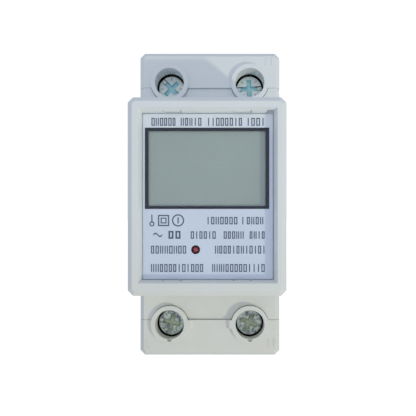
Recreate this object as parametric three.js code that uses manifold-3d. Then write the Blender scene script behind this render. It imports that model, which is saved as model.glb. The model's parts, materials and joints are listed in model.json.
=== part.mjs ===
// Two-module DIN-rail electricity meter with screw terminals, as separate solids.
// Millimetres, +Z up, front face towards -Y. The origin is the centre of the rail seat.
import * as THREE from 'three';
import { mergeVertices } from 'three/addons/utils/BufferGeometryUtils.js';
import Module from 'manifold-3d';

const wasm = await Module();
wasm.setup();

// ---------------------------------------------------------------- driving dimensions
const WIDTH = 36; // two modules of 18 mm
const HEIGHT = 78;
const HALF_W = WIDTH / 2;
const HALF_H = HEIGHT / 2;
const FOOT_BACK = 5; // rear of the feet, behind the rail seat at y = 0
const FRONT = -60; // front plane of the bezel
const SHOULDER = -42.2; // front plane of the terminal ends
const FLANGE_FRONT = -41.6; // front of the flange's lowered middle; its ears are level with SHOULDER
const FLANGE_RAMP_X = [8, 14.1]; // where the flange ramps from its middle up to its ears
const FLANGE_BACK = -40.1;
const DECK = -39.9; // case deck under the cover's flange
const PARTING = -38; // parting line between case and cover on the sides
const NOSE_HALF_H = 22.5; // 45 mm front cut-out
const END_BLOCK_START = 29.85; // the raised terminal ends start here
const FLANGE_HALF_H = END_BLOCK_START - 0.07;
const CORNER_CUT = 1.2;
const BEZEL_CHAMFER = 1.1;
const END_CHAMFER = 1.05;
const REACH = 200; // cutting boxes run well past the part

// rail channel, hook and latch
const RAIL_HALF = 17.9; // room for a 35 mm top-hat rail
const HOOK_REACH = 1.5;
const HOOK_Y = [1.6, 3.4];
const LATCH_HALF_W = 6.1;
const LATCH_Y = [1.5, 4.1];
const LATCH_TOP = -16.2;
const LATCH_BOTTOM = -40.6;
const LATCH_WINDOW_Z = [-34.2, -22];
const PEG_Z = [-33.9, -31.9];
const LATCH_GAP = 0.3;

// electronics chamber and terminal chambers
const CHAMBER_X = 16.2;
const CHAMBER_Z = 20.7;
const REAR_WALL = -2.5;
const TERMINAL_X = 10.3;
const TERMINAL_Z = 31;
const CELL_X = [1, 16.4];
const CELL_Z = [22.7, 37.4];
const CELL_Y = [-38.2, -11.9];
const COLLAR_R = 4.8;
const COLLAR_GAP = 0.1; // round each collar, to the arcs in the cover's flange
const COLLAR_FRONT = -43.1;
const WELL_R = 3.7;
const WELL_SIDES = 60;
const ENTRY_HALF_W = 4.4;
const ENTRY_Y = [-27.4, -15.6];
const BASE_SEAM = CELL_Y[1] - 0.15; // the rail base ends here and the case frame starts
const SEAM_GAP = 0.2;

// window, plate and display stack
const RECESS_X = [-14.95, 15.25];
const RECESS_Z = [-18.95, 19.35];
const RECESS_BEVEL = 0.65;
const LENS_Y = [-58.7, -57.55];
const PLATE_Y = [-57.45, -57.05];
const LEDGE_FRONT = -57;
const LEDGE_BACK = -55.4;
const LEDGE_HALF_X = 14.55;
const LEDGE_Z = [-18.1, 18.8];
const TAB_X = 8;
const TAB_HALF_W = 2;
const TAB_REACH = 0.3;
const TAB_GAP = 0.15;
const TAB_FRONT = LENS_Y[0] + 0.4; // the tabs snap in under the bezel's lip
const RELIEF_W = 0.3; // slits through the lip at the ends of each tab
const DISPLAY_X = [-14.35, 14.2]; // dark frame as seen in the plate's opening
const DISPLAY_Z = [-2.65, 16];
const VIEW_X = [-13.6, 13.4]; // clear area inside the dark frame
const VIEW_Z = [-1.95, 15.35];
const DISPLAY_FRAME_Y = [-56.95, -56.55];
const PANEL_Y = [-56.45, -54.3];
const LED_X = -2.7;
const LED_Z = -12;
const DISPLAY_BOARD_Y = [-51.2, -49.6];
const POWER_BOARD_Y = [-32.6, -31];

// terminals
const BLOCK_HALF_W = 5.2;
const BLOCK_Z = [-4.5, 5.9]; // from the screw's axis, measured away from the meter's middle
const BLOCK_Y = [-30.4, -13.4];
const WIRE_SPACE_Y = [-27.2, -15.6];
const WIRE_SPACE_HALF_W = 4.2;
const HEAD_FACE = -37.5;
const HEAD_R = 3.25;
const HEAD_H = 2.6;
const SHANK_R = 2.3;
const SHANK_L = 13;
const BORE_R = 2.65;
const CLAMP_T = 1.4;
const CLAMP_HALF_W = 3.8;
const CLAMP_HALF_L = 4.2;
const FIT_GAP = 0.3;
const BUSBAR_Y = [-13.4, -12.2];

// ---------------------------------------------------------------- shape helpers
function toSolid(geometry) {
  const bare = geometry.clone();
  bare.deleteAttribute('normal');
  bare.deleteAttribute('uv');
  const merged = mergeVertices(bare, 1e-4);
  const corners = [];
  const index = merged.index.array;
  for (let i = 0; i < index.length; i += 3) {
    const [a, b, c] = [index[i], index[i + 1], index[i + 2]];
    if (a !== b && b !== c && c !== a) corners.push(a, b, c);
  }
  return new wasm.Manifold(new wasm.Mesh({
    numProp: 3,
    vertProperties: new Float32Array(merged.attributes.position.array),
    triVerts: new Uint32Array(corners),
  }));
}

function box([x0, x1], [y0, y1], [z0, z1]) {
  const geometry = new THREE.BoxGeometry(x1 - x0, y1 - y0, z1 - z0);
  geometry.translate((x0 + x1) / 2, (y0 + y1) / 2, (z0 + z1) / 2);
  return toSolid(geometry);
}

function inset([low, high], gap) {
  return [low + gap, high - gap];
}

function mirroredRange([near, far], side) {
  return side > 0 ? [near, far] : [-far, -near];
}

// a cylinder or cone along Y; backRadius is the radius at y1
function rod(radius, [y0, y1], x, z, sides = 36, backRadius = radius) {
  const geometry = new THREE.CylinderGeometry(backRadius, radius, y1 - y0, sides);
  geometry.translate(x, (y0 + y1) / 2, z);
  return toSolid(geometry);
}

// an outline drawn in X and Z, extruded along Y
function prism(outline, [y0, y1], options = {}) {
  const geometry = new THREE.ExtrudeGeometry(outline, {
    depth: y1 - y0, bevelEnabled: false, curveSegments: 8, ...options,
  });
  geometry.rotateX(Math.PI / 2);
  geometry.translate(0, y1, 0);
  return toSolid(geometry);
}

// an outline drawn in Y and Z, extruded along X
function barAlongX(points, [x0, x1]) {
  const outline = new THREE.Shape(points.map(([y, z]) => new THREE.Vector2(y, z)));
  const geometry = new THREE.ExtrudeGeometry(outline, { depth: x1 - x0, bevelEnabled: false });
  geometry.applyMatrix4(new THREE.Matrix4().set(0, 0, 1, x0, 1, 0, 0, 0, 0, 1, 0, 0, 0, 0, 0, 1));
  return toSolid(geometry);
}

function cutCornerOutline(halfX, z0, z1, cut) {
  return new THREE.Shape([
    new THREE.Vector2(-halfX + cut, z0), new THREE.Vector2(halfX - cut, z0),
    new THREE.Vector2(halfX, z0 + cut), new THREE.Vector2(halfX, z1 - cut),
    new THREE.Vector2(halfX - cut, z1), new THREE.Vector2(-halfX + cut, z1),
    new THREE.Vector2(-halfX, z1 - cut), new THREE.Vector2(-halfX, z0 + cut),
  ]);
}

function rectangle([x0, x1], [z0, z1]) {
  return new THREE.Shape([
    new THREE.Vector2(x0, z0), new THREE.Vector2(x1, z0),
    new THREE.Vector2(x1, z1), new THREE.Vector2(x0, z1),
  ]);
}

// a prism whose front edges are chamfered at 45 degrees, and whose back is square
function frontChamferedPrism(outline, [front, back], chamfer) {
  const bevel = {
    bevelEnabled: true, bevelThickness: chamfer, bevelSize: chamfer,
    bevelOffset: -chamfer, bevelSegments: 1,
  };
  const body = prism(outline, [front + chamfer, back + chamfer], bevel);
  return body.subtract(box([-REACH, REACH], [back, back + REACH], [-REACH, REACH]));
}

// a tube along a smooth curve through hand-set points
function tube(points, radius, steps, sides = 8) {
  const path = new THREE.CatmullRomCurve3(points.map((p) => new THREE.Vector3(...p)));
  const section = new THREE.Shape();
  section.absarc(0, 0, radius, 0, 2 * Math.PI);
  return toSolid(new THREE.ExtrudeGeometry(section, {
    extrudePath: path, steps, curveSegments: sides / 2, bevelEnabled: false,
  }));
}

function joined(solids) {
  return solids.reduce((whole, next) => whole.add(next));
}

function look(color, roughness, metalness = 0, extra = {}) {
  return () => new THREE.MeshStandardMaterial({ color, roughness, metalness, ...extra });
}

const whitePlastic = look(0xd3dade, 0.5);
const latchPlastic = look(0xb9c0c4, 0.55);
const clearPlastic = look(0xdfe8f2, 0.08, 0, { transparent: true, opacity: 0.25 });
const platePrint = look(0xb9c6d8, 0.45);
const darkFrame = look(0x2b3448, 0.4);
const liquidCrystal = look(0x8f9d99, 0.3);
const diffuser = look(0xe6e9e4, 0.6);
const rubber = look(0x2a2a2c, 0.8);
const redLens = look(0x8a2f38, 0.25);
const boardGreen = look(0x2f6b3f, 0.5);
const chipBlack = look(0x1d1e20, 0.6);
const tin = look(0xb8bcc0, 0.35, 1);
const filmBlue = look(0x2d5d9b, 0.45);
const canSleeve = look(0x20242c, 0.4);
const varistorBlue = look(0x2a66a8, 0.5);
const resistorBlue = look(0x6f9fb5, 0.5);
const relayCase = look(0xe8e6df, 0.5);
const copper = look(0xb87349, 0.35, 1);
const manganin = look(0x9a8a78, 0.4, 1);
const brass = look(0xc9a65a, 0.35, 1);
const zinc = look(0xa8b4b8, 0.35, 1);
const springSteel = look(0x9aa0a4, 0.3, 1);
const redWire = look(0xa02a2a, 0.5);
const whiteWire = look(0xd8d8d2, 0.5);
const blueWire = look(0x2b4f93, 0.5);

const meter = new THREE.Group();

function place(group, name, solid, makeLook) {
  const data = solid.getMesh();
  const geometry = new THREE.BufferGeometry();
  geometry.setAttribute('position', new THREE.BufferAttribute(data.vertProperties, 3));
  geometry.setIndex(new THREE.BufferAttribute(data.triVerts, 1));
  geometry.computeVertexNormals();
  const mesh = new THREE.Mesh(geometry, makeLook());
  mesh.name = name;
  group.add(mesh);
  return mesh;
}

const sides = [-1, 1];
const everyTerminal = sides.flatMap((up) => sides.map((right) => ({ up, right })));

// ---------------------------------------------------------------- rear housing
function terminalCells() {
  return joined(everyTerminal.map(({ up, right }) => (
    box(mirroredRange(CELL_X, right), CELL_Y, mirroredRange(CELL_Z, up))
  )));
}

function collars(radius, range) {
  return joined(everyTerminal.map(({ up, right }) => (
    rod(radius, range, right * TERMINAL_X, up * TERMINAL_Z, WELL_SIDES)
  )));
}

function wireEntries() {
  const funnel = 0.9;
  return joined(everyTerminal.map(({ up, right }) => {
    const x = [right * TERMINAL_X - ENTRY_HALF_W, right * TERMINAL_X + ENTRY_HALF_W];
    const outline = new THREE.Shape([
      new THREE.Vector2(x[0], ENTRY_Y[0] + funnel), new THREE.Vector2(x[0] + funnel, ENTRY_Y[0]),
      new THREE.Vector2(x[1] - funnel, ENTRY_Y[0]), new THREE.Vector2(x[1], ENTRY_Y[0] + funnel),
      new THREE.Vector2(x[1], ENTRY_Y[1] - funnel), new THREE.Vector2(x[1] - funnel, ENTRY_Y[1]),
      new THREE.Vector2(x[0] + funnel, ENTRY_Y[1]), new THREE.Vector2(x[0], ENTRY_Y[1] - funnel),
    ]);
    const depth = HALF_H - CELL_Z[1] + 1;
    const geometry = new THREE.ExtrudeGeometry(outline, {
      depth: 2, bevelEnabled: true, bevelThickness: funnel, bevelSize: funnel, bevelSegments: 1,
    });
    const straight = new THREE.ExtrudeGeometry(outline, { depth: depth + 2, bevelEnabled: false });
    geometry.translate(0, 0, HALF_H);
    straight.translate(0, 0, CELL_Z[1] - 1);
    const entry = toSolid(geometry).add(toSolid(straight));
    return up > 0 ? entry : entry.mirror([0, 0, 1]);
  }));
}

function busbarWindows() {
  const windowY = [CELL_Y[1] - 3, CELL_Y[1]];
  return joined(everyTerminal.map(({ up, right }) => (
    box(mirroredRange([6.6, 14.4], right), windowY, mirroredRange([CHAMBER_Z - 1, CELL_Z[0] + 1], up))
  )));
}

// relief cells in the feet, open to the rear, with thin ribs between them
function rearPockets() {
  const open = [-10.3, FOOT_BACK + 1];
  const rib = 1.2;
  const columns = [[CELL_X[0], 8.1], [8.1 + rib, CELL_X[1]]];
  const rows = [[CELL_Z[0], 29.45], [29.45 + rib, CELL_Z[1]]];
  const cells = [];
  sides.forEach((right) => rows.forEach((row) => columns.forEach((column, i) => {
    cells.push(box(mirroredRange(column, right), open, row));
    if (i === 1) cells.push(box(mirroredRange(column, right), open, mirroredRange(row, -1)));
  })));
  return joined(cells);
}

// half-round notches at six o'clock in the rims of the lower wells
function rimNotches() {
  const range = [-REACH, COLLAR_FRONT + 1.3];
  const z = -TERMINAL_Z - WELL_R - 0.1;
  return joined(sides.map((right) => rod(0.6, range, right * TERMINAL_X, z, 16)));
}

// short webs beside the lower collars, along the edge of the raised end block
function collarWebs() {
  const height = 2.2;
  return joined(sides.map((right) => {
    const ramp = new THREE.Shape([
      new THREE.Vector2(6.2, SHOULDER + 1), new THREE.Vector2(6.2, COLLAR_FRONT),
      new THREE.Vector2(5, COLLAR_FRONT), new THREE.Vector2(4.4, SHOULDER),
      new THREE.Vector2(4.4, SHOULDER + 1),
    ]);
    const geometry = new THREE.ExtrudeGeometry(ramp, { depth: height, bevelEnabled: false });
    geometry.translate(0, 0, -END_BLOCK_START - height);
    const web = toSolid(geometry);
    return right > 0 ? web : web.mirror([1, 0, 0]);
  }));
}

function latchChannel() {
  const halfW = LATCH_HALF_W + LATCH_GAP;
  const floor = LATCH_Y[0] - LATCH_GAP;
  const lipFront = LATCH_Y[1] + LATCH_GAP;
  const reachDown = [-HALF_H - 1, -RAIL_HALF + 1];
  const wide = box([-halfW, halfW], [floor, lipFront], reachDown);
  const slot = box([-4.8, 4.8], [lipFront - 0.5, FOOT_BACK + 1], reachDown);
  return wide.add(slot);
}

function boardPillars() {
  return joined(everyTerminal.map(({ up, right }) => (
    box(mirroredRange([14.4, CHAMBER_X + 0.5], right), [POWER_BOARD_Y[1], REAR_WALL + 0.5],
      mirroredRange([18.6, CHAMBER_Z + 0.5], up))
  )));
}

function railSeatRecesses() {
  const depth = 0.8;
  return joined(everyTerminal.map(({ up, right }) => (
    box(mirroredRange([5, 14], right), [-depth, 1], mirroredRange([5, 13], up))
  )));
}

function snapNubs() {
  const nub = [16.9, HALF_W - 0.5];
  return joined(everyTerminal.map(({ up, right }) => (
    box(mirroredRange(nub, right), [-40.4, PARTING + 1], mirroredRange([10.3, 14.7], up))
  )));
}

// the whole rear housing as one form, which the four mouldings below are parted from
function housingForm() {
  const outline = cutCornerOutline(HALF_W, -HALF_H, HALF_H, CORNER_CUT);
  const hook = barAlongX([
    [HOOK_Y[0], RAIL_HALF + 1], [HOOK_Y[0], RAIL_HALF - HOOK_REACH],
    [HOOK_Y[1] - 0.8, RAIL_HALF - HOOK_REACH], [HOOK_Y[1], RAIL_HALF - HOOK_REACH + 0.8],
    [HOOK_Y[1], RAIL_HALF + 1],
  ], [-HALF_W, HALF_W]);
  const everyX = [-REACH, REACH];
  const decks = joined(sides.map((up) => (
    box([-16, 16], [DECK, PARTING + 1], mirroredRange([CHAMBER_Z + 0.2, END_BLOCK_START + 1], up))
  )));
  const peg = box([-1.3, 1.3], [LATCH_Y[0] - LATCH_GAP - 0.5, LATCH_Y[1] - 0.2], PEG_Z);
  return frontChamferedPrism(outline, [SHOULDER, FOOT_BACK], END_CHAMFER)
    .subtract(box(everyX, [-REACH, PARTING], [-END_BLOCK_START, END_BLOCK_START]))
    .add(decks)
    .add(collars(COLLAR_R, [COLLAR_FRONT, PARTING]))
    .add(collarWebs())
    .subtract(box([-CHAMBER_X, CHAMBER_X], [-REACH, REAR_WALL], [-CHAMBER_Z, CHAMBER_Z]))
    .subtract(terminalCells())
    .subtract(collars(WELL_R, [-REACH, CELL_Y[0] + 1]))
    .subtract(rimNotches())
    .subtract(wireEntries())
    .subtract(busbarWindows())
    .subtract(rearPockets())
    .subtract(box(everyX, [0, REACH], [-RAIL_HALF, RAIL_HALF]))
    .subtract(railSeatRecesses())
    .add(hook)
    .subtract(latchChannel())
    .add(peg)
    .add(boardPillars())
    .add(snapNubs());
}

// what a terminal cover takes of the form: its front and its end wall
function terminalCoverRegion(up, gap) {
  const endWallHalfW = CELL_X[1] - SEAM_GAP + gap;
  const front = box([-REACH, REACH], [-REACH, PARTING], mirroredRange([CHAMBER_Z - 1, REACH], up));
  const endWall = box([-endWallHalfW, endWallHalfW], [PARTING - 1, ENTRY_Y[0] + gap],
    mirroredRange([CELL_Z[1] - gap, REACH], up));
  return front.add(endWall);
}

function terminalCover(form, up) {
  return form.intersect(terminalCoverRegion(up, 0));
}

function caseFrame(form) {
  const walls = box([-REACH, REACH], [PARTING, BASE_SEAM], [-REACH, REACH]);
  const nubs = box([-REACH, REACH], [-REACH, PARTING + 1], [1 - CHAMBER_Z, CHAMBER_Z - 1]);
  return form.intersect(walls.add(nubs))
    .subtract(terminalCoverRegion(1, SEAM_GAP))
    .subtract(terminalCoverRegion(-1, SEAM_GAP));
}

function railBase(form) {
  return form.intersect(box([-REACH, REACH], [BASE_SEAM, REACH], [-REACH, REACH]));
}

// ---------------------------------------------------------------- front cover
function tabPockets(gap, reach, range) {
  return joined(sides.flatMap((right) => [
    box([right * TAB_X - TAB_HALF_W - gap, right * TAB_X + TAB_HALF_W + gap], range,
      [RECESS_Z[1] - 1, RECESS_Z[1] + reach]),
    box([right * TAB_X - TAB_HALF_W - gap, right * TAB_X + TAB_HALF_W + gap], range,
      [RECESS_Z[0] - reach, RECESS_Z[0] + 1]),
  ]));
}

// the pockets, less all but a slit at each end in front of the tabs
function lipPockets() {
  const half = TAB_HALF_W + TAB_GAP - RELIEF_W;
  const lip = joined(sides.map((right) => (
    box([right * TAB_X - half, right * TAB_X + half], [-REACH, TAB_FRONT - TAB_GAP], [-REACH, REACH])
  )));
  return tabPockets(TAB_GAP, TAB_REACH + TAB_GAP, [LENS_Y[0] - 0.35, LEDGE_FRONT]).subtract(lip);
}

// what lies in front of the flange's lowered middle, with a ramp up to each ear
function flangeTrough() {
  const [inner, outer] = FLANGE_RAMP_X;
  const section = new THREE.Shape([
    new THREE.Vector2(-outer, -REACH), new THREE.Vector2(outer, -REACH),
    new THREE.Vector2(outer, SHOULDER), new THREE.Vector2(inner, FLANGE_FRONT),
    new THREE.Vector2(-inner, FLANGE_FRONT), new THREE.Vector2(-outer, SHOULDER),
  ]);
  const geometry = new THREE.ExtrudeGeometry(section, { depth: 2 * REACH, bevelEnabled: false });
  geometry.translate(0, 0, -REACH);
  return toSolid(geometry);
}

function frontCover() {
  const nose = frontChamferedPrism(
    cutCornerOutline(HALF_W, -NOSE_HALF_H, NOSE_HALF_H, CORNER_CUT), [FRONT, PARTING], BEZEL_CHAMFER);
  const flangeOutline = rectangle([-HALF_W, HALF_W], [-FLANGE_HALF_H - 3, FLANGE_HALF_H + 3]);
  const beyond = sides.map((up) => (
    box([-REACH, REACH], [-REACH, REACH], mirroredRange([FLANGE_HALF_H, REACH], up))
  ));
  const flange = frontChamferedPrism(flangeOutline, [SHOULDER, PARTING], END_CHAMFER)
    .subtract(flangeTrough());
  const recess = rectangle(RECESS_X, RECESS_Z);
  const flareDepth = LENS_Y[0] - FRONT;
  const ahead = 1; // the flare goes on widening this far in front of the bezel
  const flare = prism(recess, [FRONT - 2 * ahead, FRONT - ahead], {
    bevelEnabled: true, bevelThickness: flareDepth + ahead,
    bevelSize: RECESS_BEVEL * (1 + ahead / flareDepth), bevelSegments: 1,
  });
  const underFlange = box([-CHAMBER_X, CHAMBER_X], [FLANGE_BACK, PARTING + 1],
    [-FLANGE_HALF_H - 1, FLANGE_HALF_H + 1]);
  const nick = new THREE.Shape([
    new THREE.Vector2(HALF_W + 0.5, 28.1), new THREE.Vector2(HALF_W + 0.5, 29.9),
    new THREE.Vector2(HALF_W - 0.57, 29.2),
  ]);
  const posts = joined(everyTerminal.map(({ up, right }) => (
    rod(1, [LEDGE_BACK - 0.5, DISPLAY_BOARD_Y[0]], right * 13.4, up * 19.3, 16)
  )));
  const snapWindows = joined(everyTerminal.map(({ up, right }) => (
    box(mirroredRange([CHAMBER_X - 1, HALF_W + 1], right), [-40.7, PARTING + 1],
      mirroredRange([10, 15], up))
  )));
  return nose.add(flange)
    .subtract(joined(beyond))
    .subtract(box([-CHAMBER_X, CHAMBER_X], [LEDGE_BACK, PARTING + 1], [-CHAMBER_Z, CHAMBER_Z]))
    .subtract(underFlange)
    .subtract(collars(COLLAR_R + COLLAR_GAP, [-REACH, PARTING + 1]))
    .subtract(prism(recess, [FRONT - 1, LEDGE_FRONT]))
    .subtract(flare)
    .subtract(lipPockets())
    .subtract(prism(rectangle([-LEDGE_HALF_X, LEDGE_HALF_X], LEDGE_Z), [FRONT, PARTING]))
    .subtract(box([13.6, RECESS_X[1]], [LENS_Y[0] - 0.5, LEDGE_FRONT], [18, RECESS_Z[1] + 0.45]))
    .subtract(prism(nick, [-REACH, PARTING + 1]))
    .subtract(box([17.3, HALF_W + 1], [-REACH, FLANGE_FRONT + 0.8], [-NOSE_HALF_H - 0.5, -NOSE_HALF_H]))
    .subtract(snapWindows)
    .add(posts);
}

// ---------------------------------------------------------------- window, plate and display
function windowLens() {
  const pane = rectangle(inset(RECESS_X, TAB_GAP), inset(RECESS_Z, TAB_GAP));
  return prism(pane, LENS_Y).add(tabPockets(0, TAB_REACH, [TAB_FRONT, LENS_Y[1]]));
}

function namePlate() {
  const gap = 0.2;
  const hole = rod(1.02, [PLATE_Y[0] - 1, PLATE_Y[1] + 1], LED_X, LED_Z, 32);
  return box(inset(RECESS_X, gap), PLATE_Y, inset(RECESS_Z, gap))
    .subtract(box(DISPLAY_X, [-REACH, REACH], DISPLAY_Z))
    .subtract(hole);
}

function displayFrame() {
  const overlap = 0.15;
  return box(inset(DISPLAY_X, -overlap), DISPLAY_FRAME_Y, inset(DISPLAY_Z, -overlap))
    .subtract(box(VIEW_X, [-REACH, REACH], VIEW_Z));
}

function pulseLed() {
  const base = DISPLAY_BOARD_Y[0];
  const tip = 5.9;
  const profile = [new THREE.Vector2(0, 0), new THREE.Vector2(1.15, 0), new THREE.Vector2(1.15, 0.8),
    new THREE.Vector2(0.8, 0.8)];
  const domeSteps = 5;
  for (let i = 0; i <= domeSteps; i += 1) {
    const angle = (i / domeSteps) * (Math.PI / 2);
    profile.push(new THREE.Vector2(0.8 * Math.cos(angle), tip - 0.8 + 0.8 * Math.sin(angle)));
  }
  profile[profile.length - 1].x = 0;
  const geometry = new THREE.LatheGeometry(profile, 20);
  geometry.rotateX(Math.PI);
  geometry.translate(LED_X, base, LED_Z);
  return toSolid(geometry);
}

function buildDisplay(group) {
  const panelX = inset(DISPLAY_X, 0.1);
  const panelZ = inset(DISPLAY_Z, 0.1);
  const stripX = inset(VIEW_X, 0.5);
  const stripY = [PANEL_Y[1] + 0.05, DISPLAY_BOARD_Y[0] - 0.05];
  const stripH = 0.8;
  const reflectorY = [PANEL_Y[1] + 0.1, DISPLAY_BOARD_Y[0] - 0.2];
  const reflectorZ = inset(panelZ, stripH + 0.2);
  place(group, 'window_lens', windowLens(), clearPlastic);
  place(group, 'name_plate', namePlate(), platePrint);
  place(group, 'lcd_frame', displayFrame(), darkFrame);
  place(group, 'lcd_panel', box(panelX, PANEL_Y, panelZ), liquidCrystal);
  place(group, 'lcd_reflector', box(inset(VIEW_X, 0.1), reflectorY, reflectorZ), diffuser);
  place(group, 'lcd_contact_upper', box(stripX, stripY, [panelZ[1] - stripH, panelZ[1]]), rubber);
  place(group, 'lcd_contact_lower', box(stripX, stripY, [panelZ[0], panelZ[0] + stripH]), rubber);
  place(group, 'pulse_led', pulseLed(), redLens);
}

// ---------------------------------------------------------------- boards and components
// a moulded chip with a row of legs on its two long sides, standing on a board facing -Y
function chip([x, z], [halfX, halfZ], boardFace, height, legs) {
  const top = boardFace - height;
  const parts = [box([x - halfX, x + halfX], [top, boardFace - 0.2], [z - halfZ, z + halfZ])];
  const pitch = (2 * halfX - 1.2) / (legs - 1);
  for (let i = 0; i < legs; i += 1) {
    const legX = x - halfX + 0.6 + i * pitch;
    sides.forEach((side) => {
      const inner = z + side * (halfZ - 0.3);
      const outer = z + side * (halfZ + 0.9);
      parts.push(box([legX - 0.2, legX + 0.2], [boardFace - 0.6, boardFace],
        [Math.min(inner, outer), Math.max(inner, outer)]));
    });
  }
  return joined(parts);
}

// straight legs that carry a component's body off its board
function legsTo(boardFace, bodyBack, spots) {
  return joined(spots.map(([x, z]) => rod(0.3, [bodyBack - 0.5, boardFace], x, z, 8)));
}

function lyingCylinder(radius, [x0, x1], y, z, sideCount = 24) {
  const geometry = new THREE.CylinderGeometry(radius, radius, x1 - x0, sideCount);
  geometry.rotateZ(Math.PI / 2);
  geometry.translate((x0 + x1) / 2, y, z);
  return toSolid(geometry);
}

function varistor(face) {
  const disc = lyingCylinder(3.6, [-1.6, 1.6], face - 5, 12.5);
  return disc.add(legsTo(face, face - 2.5, [[-0.9, 11], [0.9, 14]]));
}

function electrolytic(face) {
  const profile = [
    [0, 0], [3.9, 0], [4, 0.2], [4, 1.1], [3.7, 1.4], [4, 1.7], [4, 10.8], [3.7, 11.1], [0, 11.1],
  ].map(([r, y]) => new THREE.Vector2(r, y));
  const geometry = new THREE.LatheGeometry(profile, 28);
  geometry.rotateX(Math.PI);
  geometry.translate(8.5, face - 0.8, 12.5);
  return toSolid(geometry).add(legsTo(face, face - 0.9, [[7.25, 12.5], [9.75, 12.5]]));
}

function fuseResistor(face) {
  return lyingCylinder(1.6, [-12.5, -5.5], face - 2.6, 3)
    .add(lyingCylinder(0.35, [-14.2, -3.8], face - 2.6, 3, 8))
    .add(joined([-13.85, -4.15].map((x) => rod(0.35, [face - 2.6, face], x, 3, 8))));
}

function header(front, back) {
  const strip = box([-5.1, 5.1], [back - 2.5, back], [-18.9, -16.4]);
  const pins = [];
  for (let i = 0; i < 4; i += 1) {
    const x = -3.81 + i * 2.54;
    pins.push(box([x - 0.32, x + 0.32], [front, back - 2], [-17.97, -17.33]));
  }
  return strip.add(joined(pins));
}

function buildElectronics(group) {
  const displayBack = DISPLAY_BOARD_Y[1];
  const powerFace = POWER_BOARD_Y[0];
  const displayBoard = prism(cutCornerOutline(15, -20.2, 20.2, 0.8), DISPLAY_BOARD_Y);
  const powerBoard = prism(cutCornerOutline(15.6, -20.3, 20.3, 0.8), POWER_BOARD_Y);
  place(group, 'display_board', displayBoard, boardGreen);
  place(group, 'power_board', powerBoard, boardGreen);
  place(group, 'metering_chip', chip([0, -7.5], [5.2, 3.7], powerFace, 2.5, 8), chipBlack);
  // the controller sits on the back of the display board, so it is mirrored onto that face
  const controller = chip([0, 2], [5, 4.2], 0, 1.8, 8).mirror([0, 1, 0]).translate([0, displayBack, 0]);
  place(group, 'controller_chip', controller, chipBlack);
  const crystalCan = prism(cutCornerOutline(5.2, -2.2, 2.2, 1.6), [displayBack, displayBack + 3.4]);
  place(group, 'crystal', crystalCan.translate([0, 0, 11.5]), tin);
  place(group, 'board_header', header(displayBack, powerFace), chipBlack);
  const film = box([-13.4, -4.4], [powerFace - 11.5, powerFace - 0.6], [9.5, 15.5])
    .add(legsTo(powerFace, powerFace - 0.7, [[-12, 12.5], [-5.8, 12.5]]));
  place(group, 'film_capacitor', film, filmBlue);
  place(group, 'electrolytic_capacitor', electrolytic(powerFace), canSleeve);
  place(group, 'varistor', varistor(powerFace), varistorBlue);
  place(group, 'fuse_resistor', fuseResistor(powerFace), resistorBlue);
}

// ---------------------------------------------------------------- current path
const LIVE_X = [-14, -7];
const NEUTRAL_X = [7, 14];
const BAR_END = TERMINAL_Z + 3.7;
const SHUNT_Z = [-14, -6];
const RELAY_BAR_END = 0;
const LIVE_OUT_START = 13;

function shuntStrip() {
  const midX = (LIVE_X[0] + LIVE_X[1]) / 2;
  const strip = box([midX - 2.4, midX + 2.4], BUSBAR_Y, SHUNT_Z);
  const trim = box([midX + 1.6, midX + 4], [-REACH, REACH], [-10.6, -9.4]);
  return strip.subtract(trim);
}

function disconnectRelay() {
  const body = prism(cutCornerOutline(5.6, -11.5, 11.5, 0.7), [-30.4, -14]).translate([-8.2, 0, 7.9]);
  const lugs = [-1.6, 15.5].map((z) => box([-11.5, -9.5], [-14.5, BUSBAR_Y[0]], [z - 1, z + 1]));
  return body.add(joined(lugs));
}

function buildCurrentPath(group) {
  place(group, 'live_in_busbar', box(LIVE_X, BUSBAR_Y, [-BAR_END, SHUNT_Z[0]]), copper);
  place(group, 'shunt_strip', shuntStrip(), manganin);
  place(group, 'relay_busbar', box(LIVE_X, BUSBAR_Y, [SHUNT_Z[1], RELAY_BAR_END]), copper);
  place(group, 'live_out_busbar', box(LIVE_X, BUSBAR_Y, [LIVE_OUT_START, BAR_END]), copper);
  place(group, 'neutral_busbar', box(NEUTRAL_X, BUSBAR_Y, [-BAR_END, BAR_END]), copper);
  place(group, 'disconnect_relay', disconnectRelay(), relayCase);
  const barFace = BUSBAR_Y[0] - FIT_GAP;
  const boardBack = POWER_BOARD_Y[1] + FIT_GAP;
  const leads = [
    ['shunt_lead_low', -12.5, -15.5, -4, redWire],
    ['shunt_lead_high', -12.5, -5.2, -1, whiteWire],
    ['neutral_lead', 10.5, -8, 6, blueWire],
  ];
  leads.forEach(([name, barX, barZ, boardX, wire]) => {
    const boardZ = name === 'neutral_lead' ? -4 : -10;
    const bend = name === 'shunt_lead_high' ? -6.5 : barZ;
    const route = [
      [barX, barFace, barZ], [barX, barFace - 2.5, barZ + (bend - barZ) * 0.4],
      [(2 * barX + boardX) / 3, -20.5, (bend + boardZ) / 2],
      [(barX + 2 * boardX) / 3, -24.5, boardZ - 0.6], [boardX, boardBack + 2.5, boardZ],
      [boardX, boardBack, boardZ],
    ];
    place(group, name, tube(route, 0.55, 18), wire);
  });
}

// ---------------------------------------------------------------- terminals
function terminalBlock(up) {
  const outline = cutCornerOutline(BLOCK_HALF_W, ...mirroredRange(BLOCK_Z, up), 0.4);
  return prism(outline, BLOCK_Y)
    .subtract(box([-WIRE_SPACE_HALF_W, WIRE_SPACE_HALF_W], WIRE_SPACE_Y, [-REACH, REACH]))
    .subtract(rod(BORE_R, [BLOCK_Y[0] - 1, WIRE_SPACE_Y[0] + 1], 0, 0, 28));
}

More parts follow.
